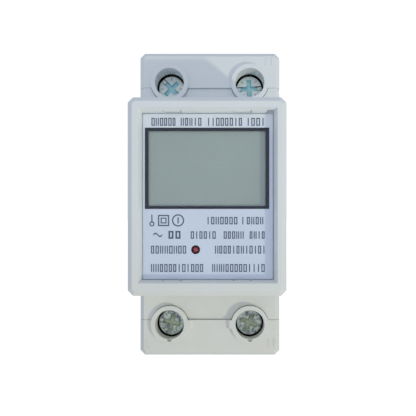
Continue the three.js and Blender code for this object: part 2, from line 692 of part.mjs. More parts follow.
// the wire presses on the back face, which has shallow cross grooves
function clampPlate() {
  const plate = box([-CLAMP_HALF_W, CLAMP_HALF_W], [0, CLAMP_T], [-CLAMP_HALF_L, CLAMP_HALF_L]);
  const grooves = [-2.4, 0, 2.4].map((z) => (
    box([-REACH, REACH], [CLAMP_T - 0.3, CLAMP_T + 1], [z - 0.3, z + 0.3])
  ));
  return plate.subtract(joined(grooves));
}

// local frame: the head's front face is at y = 0 and the shank runs towards +Y
function terminalScrew(driveAngle) {
  const tip = HEAD_H + SHANK_L;
  const profile = [
    [0, 0], [HEAD_R - 0.35, 0], [HEAD_R, 0.35], [HEAD_R, HEAD_H - 0.2], [HEAD_R - 0.2, HEAD_H],
    [SHANK_R, HEAD_H], [SHANK_R, tip - 0.6], [SHANK_R - 0.6, tip], [0, tip],
  ].map(([r, y]) => new THREE.Vector2(r, y));
  const body = toSolid(new THREE.LatheGeometry(profile, 32));
  const cross = box([-2.3, 2.3], [-1, 1.5], [-0.55, 0.55]).add(box([-0.55, 0.55], [-1, 1.5], [-2.3, 2.3]));
  const slot = box([-HEAD_R - 1, HEAD_R + 1], [-1, 0.7], [-0.45, 0.45]);
  const drive = cross.add(slot).rotate([0, driveAngle, 0]);
  return body.subtract(drive);
}

function buildTerminals(group) {
  const terminals = [
    { name: 'upper_left', up: 1, right: -1, driveAngle: 45 },
    { name: 'upper_right', up: 1, right: 1, driveAngle: 0 },
    { name: 'lower_left', up: -1, right: -1, driveAngle: -12 },
    { name: 'lower_right', up: -1, right: 1, driveAngle: -6 },
  ];
  terminals.forEach(({ name, up, right, driveAngle }) => {
    const axis = new THREE.Group();
    axis.position.set(right * TERMINAL_X, 0, up * TERMINAL_Z);
    group.add(axis);
    place(axis, `terminal_block_${name}`, terminalBlock(up), brass);
    const clamp = place(axis, `clamp_plate_${name}`, clampPlate(), zinc);
    clamp.position.y = HEAD_FACE + HEAD_H + SHANK_L + FIT_GAP;
    const screw = place(axis, `terminal_screw_${name}`, terminalScrew(driveAngle), zinc);
    screw.position.y = HEAD_FACE;
  });
}

// ---------------------------------------------------------------- rail latch
function railLatch() {
  const tongue = barAlongX([
    [LATCH_Y[0], LATCH_BOTTOM], [LATCH_Y[1], LATCH_BOTTOM], [LATCH_Y[1], LATCH_TOP - 2.6],
    [LATCH_Y[0] + 1, LATCH_TOP], [LATCH_Y[0], LATCH_TOP],
  ], [-LATCH_HALF_W, LATCH_HALF_W]);
  const rib = box([-4.5, 4.5], [LATCH_Y[1] - 0.5, FOOT_BACK - 0.1], [LATCH_BOTTOM, -36.4]);
  const toolSlot = box([-2.4, 2.4], [-REACH, REACH], [-39.6, -37.8]);
  const springWindow = box([-1.8, 1.8], [-REACH, REACH], LATCH_WINDOW_Z);
  return tongue.add(rib).subtract(toolSlot).subtract(springWindow);
}

class Helix extends THREE.Curve {
  constructor(radius, turns, height) {
    super();
    Object.assign(this, { radius, turns, height });
  }

  getPoint(t, target = new THREE.Vector3()) {
    const angle = 2 * Math.PI * this.turns * t;
    return target.set(this.radius * Math.cos(angle), this.radius * Math.sin(angle), this.height * t);
  }
}

function latchSpring() {
  const wireR = 0.2;
  const length = LATCH_WINDOW_Z[1] - PEG_Z[1] - 2 * FIT_GAP - 2 * wireR;
  const section = new THREE.Shape();
  section.absarc(0, 0, wireR, 0, 2 * Math.PI);
  const geometry = new THREE.ExtrudeGeometry(section, {
    extrudePath: new Helix(0.9, 7, length), steps: 84, curveSegments: 3, bevelEnabled: false,
  });
  geometry.translate(0, (LATCH_Y[0] + LATCH_Y[1]) / 2, PEG_Z[1] + FIT_GAP + wireR);
  return toSolid(geometry);
}

// ---------------------------------------------------------------- assembly
const housing = new THREE.Group();
const form = housingForm();
place(housing, 'rail_base', railBase(form), whitePlastic);
place(housing, 'case_frame', caseFrame(form), whitePlastic);
place(housing, 'terminal_cover_upper', terminalCover(form, 1), whitePlastic);
place(housing, 'terminal_cover_lower', terminalCover(form, -1), whitePlastic);
place(housing, 'front_cover', frontCover(), whitePlastic);
const display = new THREE.Group();
buildDisplay(display);
const electronics = new THREE.Group();
buildElectronics(electronics);
const currentPath = new THREE.Group();
buildCurrentPath(currentPath);
const terminalSet = new THREE.Group();
buildTerminals(terminalSet);
const railFixing = new THREE.Group();
place(railFixing, 'rail_latch', railLatch(), latchPlastic);
place(railFixing, 'latch_spring', latchSpring(), springSteel);
meter.add(housing, display, electronics, currentPath, terminalSet, railFixing);

export default meter;
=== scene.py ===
"""Looks, light and camera for a two-module rail-mounted electricity meter.

Everything is in metres in the model's own frame: +Z up, the front face towards -Y.
"""
import json
import math
import random

import bmesh
import bpy
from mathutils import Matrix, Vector


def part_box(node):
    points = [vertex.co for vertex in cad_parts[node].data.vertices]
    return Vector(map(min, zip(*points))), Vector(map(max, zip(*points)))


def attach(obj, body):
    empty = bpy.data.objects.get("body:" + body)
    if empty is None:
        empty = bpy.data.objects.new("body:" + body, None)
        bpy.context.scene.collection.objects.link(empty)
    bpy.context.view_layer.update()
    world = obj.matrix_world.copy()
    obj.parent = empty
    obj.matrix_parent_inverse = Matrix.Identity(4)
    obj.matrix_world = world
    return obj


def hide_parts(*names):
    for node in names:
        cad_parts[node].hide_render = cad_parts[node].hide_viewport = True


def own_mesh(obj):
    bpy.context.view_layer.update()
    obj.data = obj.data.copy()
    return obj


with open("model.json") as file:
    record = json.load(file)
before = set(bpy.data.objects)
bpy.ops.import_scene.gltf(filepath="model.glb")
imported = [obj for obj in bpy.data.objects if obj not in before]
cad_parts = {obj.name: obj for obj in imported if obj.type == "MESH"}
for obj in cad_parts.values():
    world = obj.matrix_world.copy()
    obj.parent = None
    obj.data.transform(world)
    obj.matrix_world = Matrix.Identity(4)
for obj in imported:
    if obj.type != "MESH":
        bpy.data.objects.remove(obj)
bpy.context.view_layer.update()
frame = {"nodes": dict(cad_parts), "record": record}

MM = 0.001
nodes = frame["nodes"]
front_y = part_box("front_cover")[0].y  # the bezel's front plane

# each terminal's screw: the turn of its cross and of its long grooves in degrees, and whether it is worn
TERMINALS = {
    "upper_left": {"drive": 45, "worn": False, "grooves": [135]},
    "upper_right": {"drive": 3, "worn": False, "grooves": [3, 183]},
    "lower_left": {"drive": -12, "worn": True, "grooves": [168]},
    "lower_right": {"drive": -24, "worn": True, "grooves": []},
}


# ---------------------------------------------------------------- camera
CAMERA_OFFSET = (5.1 * MM, -121.8 * MM, -13.7 * MM)  # from the centre of the bezel's front plane
FOCAL_LENGTH = 46.96
SENSOR_WIDTH = 36
SHIFT = (-0.0519, 0.118)


def make_camera():
    """The photograph's viewpoint, with colours shown as they are rendered."""
    data = bpy.data.cameras.new("camera")
    data.lens = FOCAL_LENGTH
    data.sensor_width = SENSOR_WIDTH
    data.shift_x, data.shift_y = SHIFT
    data.clip_start = 1 * MM
    data.clip_end = 20
    camera = bpy.data.objects.new("camera", data)
    camera.location = (CAMERA_OFFSET[0], front_y + CAMERA_OFFSET[1], CAMERA_OFFSET[2])
    camera.rotation_euler = (math.pi / 2, 0, 0)
    scene = bpy.context.scene
    scene.collection.objects.link(camera)
    scene.camera = camera
    scene.view_settings.view_transform = "Standard"
    scene.view_settings.look = "None"


# ---------------------------------------------------------------- node graphs
SPECULAR = 0.5
MIX_SHARE, MIX_FIRST, MIX_SECOND, MIX_RESULT = 0, 6, 7, 2  # a Mix node's sockets for colours


class NodeTree:
    """A node tree, with short ways to add nodes and to set or link their sockets."""

    def __init__(self, tree):
        self.tree = tree

    def put(self, socket, value):
        if isinstance(value, bpy.types.NodeSocket):
            self.tree.links.new(value, socket)
        elif isinstance(value, tuple) and len(value) == 3 and len(socket.default_value) == 4:
            socket.default_value = (*value, 1)
        else:
            socket.default_value = value

    def add(self, kind, inputs=None, **settings):
        node = self.tree.nodes.new(kind)
        for key, value in settings.items():
            setattr(node, key, value)
        for key, value in (inputs or {}).items():
            self.put(node.inputs[key], value)
        return node

    def spread(self, value, low, high, start=0.0, end=1.0):
        return self.add("ShaderNodeMapRange", {
            "Value": value, "From Min": low, "From Max": high, "To Min": start, "To Max": end,
        }).outputs["Result"]

    def mix(self, share, first, second, blend_type="MIX"):
        node = self.add("ShaderNodeMix", data_type="RGBA", blend_type=blend_type)
        self.put(node.inputs[MIX_SHARE], share)
        self.put(node.inputs[MIX_FIRST], first)
        self.put(node.inputs[MIX_SECOND], second)
        return node.outputs[MIX_RESULT]

    def maths(self, operation, first, second):
        node = self.add("ShaderNodeMath", operation=operation)
        self.put(node.inputs[0], first)
        self.put(node.inputs[1], second)
        return node.outputs[0]


class Graph(NodeTree):
    """A material's node tree, with short ways to add the textures that every finish here uses."""

    def __init__(self, name):
        self.material = bpy.data.materials.new(name)
        self.material.use_nodes = True
        super().__init__(self.material.node_tree)
        self.shader = self.tree.nodes["Principled BSDF"]
        self.output = self.tree.nodes["Material Output"]
        self.place = self.add("ShaderNodeTexCoord").outputs["Object"]

    def stretched(self, scale):
        return self.add("ShaderNodeMapping", {"Vector": self.place, "Scale": scale}).outputs["Vector"]

    def noise(self, size, detail=2.0, roughness=0.5, vector=None):
        """Noise from 0 to 1 whose blobs are about size metres across."""
        return self.add("ShaderNodeTexNoise", {
            "Vector": vector or self.place, "Scale": 0.5 / size, "Detail": detail, "Roughness": roughness,
        }).outputs["Fac"]

    def bump(self, *layers):
        """Bump from (height, depth in metres) layers, one on top of the other."""
        normal = None
        for height, depth in layers:
            node = self.add("ShaderNodeBump", {"Height": height, "Distance": depth})
            if normal:
                self.put(node.inputs["Normal"], normal)
            normal = node.outputs["Normal"]
        return normal

    def edges(self, radius):
        """About 0 on flat faces, rising towards 1 on edges sharper than radius."""
        rounded = self.add("ShaderNodeBevel", {"Radius": radius}, samples=4).outputs["Normal"]
        flat = self.add("ShaderNodeNewGeometry").outputs["Normal"]
        facing = self.add("ShaderNodeVectorMath", operation="DOT_PRODUCT")
        self.put(facing.inputs[0], rounded)
        self.put(facing.inputs[1], flat)
        return self.spread(facing.outputs["Value"], 1.0, 0.9)

    def crevices(self, reach):
        """About 0 in the open, rising to 1 in corners closer than reach."""
        shade = self.add("ShaderNodeAmbientOcclusion", {"Distance": reach}, samples=6)
        return self.spread(shade.outputs["AO"], 0.9, 0.25)

    def height(self):
        return self.add("ShaderNodeSeparateXYZ", {"Vector": self.place}).outputs["Z"]

    def finish(self, color, roughness, normal=None, metallic=0.0):
        self.put(self.shader.inputs["Base Color"], color)
        self.put(self.shader.inputs["Roughness"], roughness)
        self.put(self.shader.inputs["Metallic"], metallic)
        self.put(self.shader.inputs["Specular IOR Level"], SPECULAR)
        if normal:
            self.put(self.shader.inputs["Normal"], normal)
        return self.material


def scaled(color, factor):
    return tuple(channel * factor for channel in color)


# ---------------------------------------------------------------- finishes
HOUSING = (0.79, 0.83, 0.85)
# the lighter colour that edges are painted towards: partly rubbed wear, partly a painted highlight
RUBBED_AND_HIGHLIGHT_PLASTIC = (0.86, 0.88, 0.9)
LOWER_SHADE_TINT = (0.92, 0.87, 0.79)  # painted shade: what is left of each colour at the lower end, which is painted darker and warmer
LOWER_SHADE_HEIGHTS = (0, -36 * MM)
TOP_LIGHT_HEIGHTS = (13 * MM, 18 * MM)  # painted light: the plate turns lighter between these heights, towards its top
HEAD_ON_GLOSS = 0.012  # the window's mirror share, seen straight on
METAL_WHITE = (0.94, 1.0, 0.96)
RUBBED_METAL = (0.85, 0.87, 0.86)


def moulded_plastic(name, color, roughness=0.46, grain=0.11, mottle=0.02, corner_shade_strength=0.025, wear_and_highlight=0.3,
                    shaded_low=False):
    """Moulded plastic: fine spark grain, slow flow mottling, polished edges that are also painted lighter as
    a painted highlight, and painted shade darkening its corners.

    The plastic can also be painted darker and warmer towards its lower end, as painted shade.
    """
    g = Graph(name)
    flow = g.noise(14 * MM, 3, vector=g.stretched((1, 1, 0.45)))
    cloud = g.noise(1.6 * MM, 4, 0.6)
    tone = g.mix(g.spread(flow, 0.3, 0.7), scaled(color, 1 - mottle), scaled(color, 1 + mottle))
    # painted shade: darker and warmer towards the lower end
    if shaded_low:
        tone = g.mix(g.spread(g.height(), *LOWER_SHADE_HEIGHTS), tone, LOWER_SHADE_TINT, "MULTIPLY")
    tone = g.mix(g.spread(cloud, 0.42, 0.72, 0, 0.35), tone, scaled(color, 1 - 1.6 * mottle))
    # painted shade: an occlusion mask, broken up by noise, darkens the colour in corners and hollows
    corner_shade = g.maths("MULTIPLY", g.crevices(0.9 * MM), g.spread(g.noise(0.8 * MM, 3), 0.3, 0.7, 0.5, 1))
    corner_shade_color = (color[0] * 0.62, color[1] * 0.6, color[2] * 0.56)
    tone = g.mix(g.maths("MULTIPLY", corner_shade, corner_shade_strength), tone, corner_shade_color)
    # edges painted lighter: partly rubbed wear, partly a painted highlight; the same mask also makes them
    # glossier
    rubbed = g.maths("MULTIPLY", g.edges(0.22 * MM), g.spread(g.noise(2.2 * MM, 3), 0.35, 0.65))
    tone = g.mix(g.maths("MULTIPLY", rubbed, wear_and_highlight), tone, RUBBED_AND_HIGHLIGHT_PLASTIC)
    spark = g.noise(grain * MM, 2, 0.55)
    haze = g.spread(g.noise(5 * MM, 4), 0.25, 0.75, roughness - 0.05, roughness + 0.07)
    shine = g.maths("SUBTRACT", haze, g.maths("MULTIPLY", rubbed, 0.12))
    scuffs = g.noise(0.25 * MM, 2, vector=g.stretched((1, 1, 0.06)))
    normal = g.bump((g.noise(9 * MM, 1), 0.04 * MM), (scuffs, 0.0012 * MM), (spark, 0.007 * MM))
    return g.finish(tone, shine, normal)


def window_plastic(name):
    """Clear cover: tinted see-through, glossier at a slant, with faint ripples and wiping marks."""
    g = Graph(name)
    wiping = g.noise(0.12 * MM, 2, vector=g.stretched((1, 1, 0.03)))
    ripple = g.bump((g.noise(11 * MM, 1), 0.02 * MM), (wiping, 0.0004 * MM))
    smudge = g.spread(g.noise(6 * MM, 4, 0.62), 0.45, 0.8, 0.05, 0.17)
    gloss = g.add("ShaderNodeBsdfGlossy", {"Color": (0.95, 0.97, 1.0), "Roughness": smudge, "Normal": ripple})
    clear = g.add("ShaderNodeBsdfTransparent", {"Color": (0.985, 0.99, 1.0)})
    facing = g.add("ShaderNodeLayerWeight", {"Blend": 0.5, "Normal": ripple}).outputs["Facing"]
    grazing = g.maths("MULTIPLY", g.maths("POWER", facing, 5.0), 1 - HEAD_ON_GLOSS)
    share = g.maths("ADD", grazing, HEAD_ON_GLOSS)
    pane = g.add("ShaderNodeMixShader", {"Fac": share, 1: clear.outputs["BSDF"], 2: gloss.outputs["BSDF"]})
    g.put(g.output.inputs["Surface"], pane.outputs["Shader"])
    g.tree.nodes.remove(g.shader)
    return g.material


def printed_plate(name, color, lit_top_color):
    """Screen-printed film, painted lighter along its top as painted light: a faint paper-like tooth and
    slight ink clouding.
    """
    g = Graph(name)
    cloud = g.spread(g.noise(7 * MM, 4), 0.3, 0.7)
    tone = g.mix(cloud, scaled(color, 0.975), scaled(color, 1.025))
    tone = g.mix(g.spread(g.noise(0.16 * MM, 2), 0.35, 0.65, 0, 0.5), tone, scaled(color, 0.965))
    # painted light: the plate turns lighter towards its top
    tone = g.mix(g.spread(g.height(), *TOP_LIGHT_HEIGHTS), tone, lit_top_color)
    tooth = g.noise(0.09 * MM, 2)
    return g.finish(tone, g.spread(cloud, 0, 1, 0.38, 0.5), g.bump((tooth, 0.003 * MM)))


def ink(name, color):
    """Printing ink, thinner in fine specks."""
    g = Graph(name)
    thin = g.spread(g.noise(0.14 * MM, 3), 0.35, 0.7)
    return g.finish(g.mix(thin, color, scaled(color, 1.5)), g.spread(thin, 0, 1, 0.3, 0.45))


def crystal_glass(name, color):
    """Reflective display: grey-green polariser with slow clouds and a fine horizontal weave."""
    g = Graph(name)
    cloud = g.spread(g.noise(9 * MM, 2), 0.3, 0.7)
    tone = g.mix(cloud, scaled(color, 0.965), scaled(color, 1.035))
    weave = g.noise(0.1 * MM, 2, vector=g.stretched((0.12, 1, 1)))
    tone = g.mix(g.spread(weave, 0.35, 0.65, 0, 0.6), tone, scaled(color, 0.95))
    return g.finish(tone, g.spread(cloud, 0, 1, 0.32, 0.42), g.bump((weave, 0.0015 * MM)))


def tinted_lens(name, color):
    """A lamp's tinted resin, darker in its depth, with a glossy skin."""
    g = Graph(name)
    depth = g.spread(g.noise(0.5 * MM, 3), 0.3, 0.7)
    g.put(g.shader.inputs["Coat Weight"], 0.6)
    return g.finish(g.mix(depth, scaled(color, 0.7), scaled(color, 1.25)),
                    g.spread(depth, 0, 1, 0.14, 0.24), g.bump((g.noise(0.3 * MM), 0.004 * MM)))


def plated_metal(name, color, roughness, stain=0.25, stain_color=(0.3, 0.32, 0.3), metallic=1.0,
                 patch=0.75):
    """Machined or plated metal: tool marks, stains about patch millimetres wide and brighter rubbed edges."""
    g = Graph(name)
    marks = g.noise(0.07 * MM, 3)
    blotch = g.spread(g.noise(patch * MM, 4, 0.6), 0.42, 0.66)
    tone = g.mix(g.maths("MULTIPLY", blotch, stain), color, stain_color)
    tone = g.mix(g.maths("MULTIPLY", g.edges(0.1 * MM), 0.5), tone, RUBBED_METAL)
    shine = g.maths("ADD", g.spread(marks, 0.3, 0.7, roughness - 0.07, roughness + 0.07),
                    g.maths("MULTIPLY", blotch, 0.14))
    normal = g.bump((g.noise(0.6 * MM, 3), 0.012 * MM), (marks, 0.003 * MM))
    return g.finish(tone, shine, normal, metallic=metallic)


def rolled_metal(name, color):
    """Rolled strip: drawn lines along its length and warm heat tint."""
    g = Graph(name)
    lines = g.noise(0.08 * MM, 3, vector=g.stretched((1, 1, 0.04)))
    tint = g.spread(g.noise(3.5 * MM, 3), 0.4, 0.7)
    tone = g.mix(tint, color, (color[0] * 0.72, color[1] * 0.62, color[2] * 0.6))
    return g.finish(tone, g.spread(lines, 0.3, 0.7, 0.24, 0.42), g.bump((lines, 0.003 * MM)), metallic=1.0)


def laminate(name):
    """Circuit board: green solder mask over copper tracks, which show as raised, lighter paths."""
    g = Graph(name)
    flat = g.add("ShaderNodeMapping", {"Vector": g.place, "Rotation": (math.pi / 2, 0, 0)})
    tracks = g.add("ShaderNodeTexBrick", {
        "Vector": flat.outputs["Vector"],
        "Scale": 150.0, "Mortar Size": 0.035, "Mortar Smooth": 0.1, "Brick Width": 0.9, "Row Height": 0.36,
    }, offset=0.37, squash=1.4).outputs["Fac"]
    cloth = g.noise(0.2 * MM, 2)
    mask = g.mix(g.spread(cloth, 0.3, 0.7), (0.016, 0.11, 0.04), (0.024, 0.15, 0.055))
    tone = g.mix(tracks, mask, (0.06, 0.25, 0.1))
    normal = g.bump((tracks, 0.03 * MM), (cloth, 0.004 * MM))
    return g.finish(tone, g.spread(cloth, 0.3, 0.7, 0.28, 0.42), normal)


def soft_rubber(name, color):
    """Elastomer or wire insulation, with the fine stripes that conductive layers or extrusion leave."""
    g = Graph(name)
    layers = g.noise(0.1 * MM, 1, vector=g.stretched((1, 0.05, 0.2)))
    tone = g.mix(g.spread(layers, 0.35, 0.65), scaled(color, 0.75), scaled(color, 1.2))
    return g.finish(tone, g.spread(g.noise(1.5 * MM, 3), 0.3, 0.7, 0.5, 0.68), g.bump((layers, 0.01 * MM)))


def coated_part(name, color, roughness):
    """Dipped, sleeved or moulded component body: orange-peel coat and handling marks."""
    g = Graph(name)
    peel = g.noise(0.5 * MM, 2)
    rub = g.spread(g.noise(2 * MM, 4), 0.35, 0.7)
    tone = g.mix(rub, scaled(color, 0.9), scaled(color, 1.15))
    return g.finish(tone, g.spread(rub, 0, 1, roughness, roughness + 0.15), g.bump((peel, 0.02 * MM)))


def make_finishes():
    """One material for each material slot of the record."""
    return {
        "housing_plastic": moulded_plastic("housing_plastic", HOUSING, shaded_low=True),
        "latch_plastic": moulded_plastic("latch_plastic", (0.42, 0.45, 0.46), roughness=0.5, grain=0.14),
        "window_clear": window_plastic("window_clear"),
        # the plate's second colour is its painted light along the top
        "plate_print": printed_plate("plate_print", (0.74, 0.80, 0.90), (0.86, 0.9, 0.93)),
        # the display frame gets strong painted shade in its corners and almost no painted edge highlight
        "display_frame": moulded_plastic("display_frame", (0.008, 0.014, 0.032), roughness=0.42, grain=0.1,
                                         mottle=0.1, corner_shade_strength=0.2, wear_and_highlight=0.01),
        "display_glass": crystal_glass("display_glass", (0.385, 0.45, 0.42)),
        "diffuser": moulded_plastic("diffuser", (0.8, 0.82, 0.78), roughness=0.6, grain=0.2),
        "contact_rubber": soft_rubber("contact_rubber", (0.03, 0.03, 0.032)),
        "led_red": tinted_lens("led_red", (0.4, 0.045, 0.06)),
        "board_laminate": laminate("board_laminate"),
        "chip_package": coated_part("chip_package", (0.014, 0.015, 0.017), roughness=0.5),
        "crystal_can": plated_metal("crystal_can", (0.6, 0.62, 0.64), roughness=0.3, stain=0.1),
        "film_case": coated_part("film_case", (0.03, 0.12, 0.38), roughness=0.25),
        "can_sleeve": coated_part("can_sleeve", (0.012, 0.014, 0.022), roughness=0.25),
        "varistor_coating": coated_part("varistor_coating", (0.025, 0.14, 0.42), roughness=0.35),
        "resistor_body": coated_part("resistor_body", (0.18, 0.36, 0.46), roughness=0.35),
        "relay_case": moulded_plastic("relay_case", (0.72, 0.7, 0.64), roughness=0.45, grain=0.15),
        "busbar_copper": rolled_metal("busbar_copper", (0.72, 0.36, 0.2)),
        "shunt_alloy": rolled_metal("shunt_alloy", (0.42, 0.34, 0.27)),
        "lead_red": soft_rubber("lead_red", (0.38, 0.02, 0.02)),
        "lead_white": soft_rubber("lead_white", (0.7, 0.7, 0.66)),
        "lead_blue": soft_rubber("lead_blue", (0.02, 0.08, 0.32)),
        # painted shade: the terminal cages and clamp plates are painted almost black, so the gaps round the
        # screw heads show as deep shade
        "terminal_brass": plated_metal("terminal_brass", (0.1, 0.075, 0.04), roughness=0.5, stain=0.4,
                                       stain_color=(0.05, 0.04, 0.025), metallic=0.6),
        "zinc_plate": plated_metal("zinc_plate", (0.12, 0.13, 0.135), roughness=0.45, stain=0.3,
                                   stain_color=(0.07, 0.08, 0.08), metallic=0.6),
        "screw_zinc": plated_metal("screw_zinc", METAL_WHITE, roughness=0.3, stain=0.35,
                                   stain_color=(0.62, 0.78, 0.7), metallic=0.3),
        "spring_steel": rolled_metal("spring_steel", (0.5, 0.52, 0.54)),
    }


# ---------------------------------------------------------------- mesh helpers
def new_piece(name, bm, finish, body="meter", smooth=True):
    """A mesh object with one material, riding on body unless that is None."""
    bmesh.ops.recalc_face_normals(bm, faces=bm.faces)
    data = bpy.data.meshes.new(name)
    bm.to_mesh(data)
    bm.free()
    piece = bpy.data.objects.new(name, data)
    bpy.context.scene.collection.objects.link(piece)
    data.materials.append(finish)
    for face in data.polygons:
        face.use_smooth = smooth
    if body:
        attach(piece, body)
    return piece


def bridge(bm, rings):
    """Faces between neighbouring rings of vertices, each with as many vertices."""
    for near, far in zip(rings, rings[1:]):
        for i in range(len(near)):
            j = (i + 1) % len(near)
            bm.faces.new((near[i], near[j], far[j], far[i]))


def add_loft(bm, rings):
    """Joins rings of points, each with as many points, and caps the ends."""
    made = [[bm.verts.new(point) for point in ring] for ring in rings]
    bridge(bm, made)
    bm.faces.new(made[0])
    bm.faces.new(reversed(made[-1]))


def add_prism(bm, outline, y0, y1):
    """An outline of (x, z) points extruded along Y."""
    add_loft(bm, [[(x, y, z) for x, z in outline] for y in (y0, y1)])


def add_bar(bm, x_range, z_range, y_range):
    """A bar with its X and Z ranges in millimetres."""
    (x0, x1), (z0, z1) = ((low * MM, high * MM) for low, high in (x_range, z_range))
    add_prism(bm, [(x0, z0), (x1, z0), (x1, z1), (x0, z1)], *y_range)


def add_frame(bm, x_range, z_range, line, y_range):
    """A rectangular outline, drawn inwards from its X and Z ranges; millimetres, as its line's width is."""
    (x0, x1), (z0, z1) = x_range, z_range
    for xs, zs in (((x0, x1), (z0, z0 + line)), ((x0, x1), (z1 - line, z1)),
                   ((x0, x0 + line), (z0 + line, z1 - line)), ((x1 - line, x1), (z0 + line, z1 - line))):
        add_bar(bm, xs, zs, y_range)


def add_ring(bm, centre, outer, inner, y_range, steps):
    """A flat ring round an (x, z) centre; millimetres."""
    rings = []
    for radius, y in ((outer, y_range[0]), (outer, y_range[1]), (inner, y_range[1]), (inner, y_range[0])):
        circle = (2 * math.pi * i / steps for i in range(steps))
        rings.append([bm.verts.new(((centre[0] + radius * math.cos(a)) * MM, y,
                                    (centre[1] + radius * math.sin(a)) * MM)) for a in circle])
    bridge(bm, [*rings, rings[0]])


def add_lathe(bm, profile, centre, steps):
    """A profile of (radius, y) points turned about the Y axis through centre, (x, z)."""
    rings = []
    for radius, y in profile:
        rings.append([
            (centre[0] + radius * math.cos(a), y, centre[1] + radius * math.sin(a))
            for a in (2 * math.pi * i / steps for i in range(steps))
        ])
    add_loft(bm, rings)


def add_tube(bm, path, radius, sides):
    """A round tube along a list of points, with flat ends."""
    rings = []
    up = Vector((0, 1, 0))
    for i, point in enumerate(path):
        ahead = path[min(i + 1, len(path) - 1)] - path[max(i - 1, 0)]
        side = ahead.cross(up).normalized()
        up = side.cross(ahead).normalized()
        rings.append([
            point + radius * (math.cos(a) * side + math.sin(a) * up)
            for a in (2 * math.pi * k / sides for k in range(sides))
        ])
    add_loft(bm, rings)


def cut(piece, cutters):
    """Cuts the cutters, which keep their own material on the cut faces, out of the piece."""
    for cutter in cutters:
        modifier = piece.modifiers.new("cut", "BOOLEAN")
        modifier.operation = "DIFFERENCE"
        modifier.solver = "EXACT"
        modifier.material_mode = "TRANSFER"
        modifier.object = cutter
    bpy.context.view_layer.update()
    graph = bpy.context.evaluated_depsgraph_get()
    result = bpy.data.meshes.new_from_object(piece.evaluated_get(graph))
    piece.modifiers.clear()
    piece.data = result
    for cutter in cutters:
        bpy.data.objects.remove(cutter)


WELD_GAP = 0.001 * MM
FLAT_ANGLE = 0.5  # degrees; faces closer to one plane than this become one


def soften(piece, width, angle=30, weld=True):
    """Rounds a piece's sharp edges and keeps its flat faces flat in the shading."""
    if weld:
        merge = piece.modifiers.new("weld", "WELD")
        merge.merge_threshold = WELD_GAP
        faces = piece.modifiers.new("faces", "DECIMATE")
        faces.decimate_type = "DISSOLVE"
        faces.angle_limit = math.radians(FLAT_ANGLE)
    bevel = piece.modifiers.new("bevel", "BEVEL")
    bevel.width = width
    bevel.segments = 2
    bevel.limit_method = "ANGLE"
    bevel.angle_limit = math.radians(angle)
    bevel.use_clamp_overlap = True
    normals = piece.modifiers.new("normals", "WEIGHTED_NORMAL")
    normals.keep_sharp = True


# ---------------------------------------------------------------- CAD nodes
EDGE_ROUNDING = {
    "front_cover": 0.1 * MM, "rail_base": 0.14 * MM, "case_frame": 0.14 * MM,
    "terminal_cover_upper": 0.05 * MM, "terminal_cover_lower": 0.05 * MM, "rail_latch": 0.2 * MM,
    "window_lens": 0.1 * MM, "lcd_frame": 0.08 * MM, "disconnect_relay": 0.2 * MM,
    "film_capacitor": 0.3 * MM, "crystal": 0.3 * MM,
}
SMALL_ROUNDING = 0.08 * MM
SMALL_PIECE_ANGLE = 35  # sharper edges than this are rounded on the screws and marks, in degrees


def finish_nodes(finishes):
    """Gives each CAD node the finish of its slot, and rounds its edges."""
    slots = {row["node"]: row["material_slot"] for row in frame["record"]["subparts"]}
    for name, node in nodes.items():
        node.data.materials.clear()
        node.data.materials.append(finishes[slots[name]])
        for face in node.data.polygons:
            face.use_smooth = True
            face.material_index = 0
        soften(node, EDGE_ROUNDING.get(name, SMALL_ROUNDING))


# ---------------------------------------------------------------- print on the plate
# millimetres, as (from, to) across and up the plate
PRINT_ROWS = [
    {"z": (16.4, 18.2), "words": [(-12.8, -7.0), (-6.1, -1.1), (-0.1, 8.25), (8.95, 13.5)]},
    {"z": (-6.2, -4.5), "words": [(-0.2, 7.15), (7.95, 8.45), (9.05, 13.1)]},
    {"z": (-9.5, -7.8), "words": [(-3.8, 2.15), (3.75, 8.55), (9.7, 13.4)]},
    {"z": (-12.9, -11.1), "words": [(-12.9, -4.6), (1.75, 13.6)]},
    {"z": (-17.1, -15.3), "words": [(-12.9, -0.7), (1.1, 13.4)]},
]
PRINT_HEIGHT = 0.02 * MM
LETTER_PITCH = 1.02
STROKE = 0.235
SIGN_KINDS = ["box", "box", "box", "pair", "bar"]  # a random one stands for each letter
PRINT_SEED = 7

# the line signs: a small ring with a stem, nested squares, a ring round a stroke, two boxes and a wave
RINGS = [((-12.7, -6.1), 0.58, 0.32, 24), ((-6.7, -5.3), 1.4, 1.12, 40)]
STEMS = [((-12.83, -12.57), (-5.56, -4.0)), ((-6.84, -6.56), (-6.0, -4.6))]
SQUARES = [((-11.3, -8.75), (-6.6, -4.05), 0.27), ((-10.7, -9.35), (-6.0, -4.65), 0.24)]
BOXES = [((-8.9, -7.75), (-9.5, -7.7), 0.36), ((-7.3, -6.15), (-9.5, -7.7), 0.36)]
WAVE_START = -12.4
WAVE_WIDTH = 2.1
WAVE_MIDDLE = -8.62
WAVE_RISE = 0.34
WAVE_TURN = 3  # radians per millimetre
WAVE_LINE = 0.34
WAVE_STEPS = 24


def add_word(bm, x_range, z_range, y_range, rng):
    """Greeked text: outlined boxes and upright strokes with the rhythm of a printed word, no letters."""
    width = x_range[1] - x_range[0]
    count = max(1, round(width / LETTER_PITCH))
    pitch = width / count
    for i in range(count):
        kind = rng.choice(SIGN_KINDS) if width > LETTER_PITCH else "bar"
        left = x_range[0] + i * pitch
        right = left + pitch * rng.uniform(0.68, 0.78)
        if kind == "box":
            add_frame(bm, (left, right), z_range, STROKE, y_range)
            continue
        starts = [left, right - STROKE] if kind == "pair" else [(left + right - STROKE) / 2]
        for start in starts:
            add_bar(bm, (start, start + STROKE), z_range, y_range)


